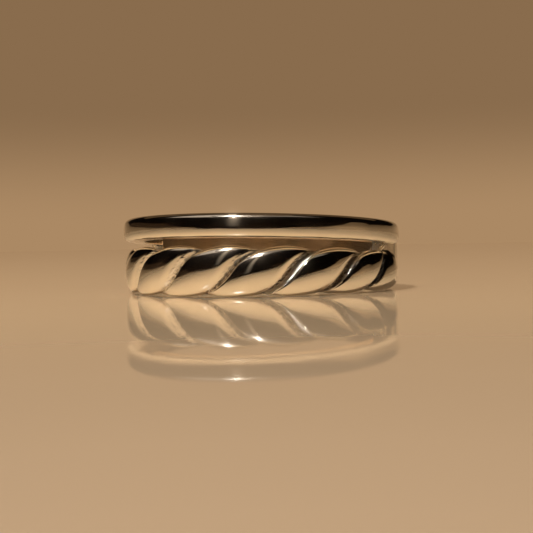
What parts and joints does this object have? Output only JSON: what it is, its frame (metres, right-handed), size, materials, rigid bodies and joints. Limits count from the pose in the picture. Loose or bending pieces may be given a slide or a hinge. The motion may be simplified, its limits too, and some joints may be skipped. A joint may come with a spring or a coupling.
{
  "type": "rope twist ring",
  "caption": "Polished silver finger ring with a plain domed band over a twisted rope band, split by an open slit round the front and joined in one smooth shank at the back.",
  "frame": {"origin": "on the finger's axis, in the flat face that the ring rests on", "axes": "+Z along the finger's axis, from the rope band to the plain band; -Y towards the front, where the ring is tallest"},
  "size_m": [0.0202, 0.0202, 0.0056],
  "materials": {
    "sterling_silver": "cast sterling silver, mirror polished by hand, with a rougher cast skin left in the grooves"
  },
  "bodies": {
    "root": {"double_band_ring": "sterling_silver"}
  },
  "joints": []
}
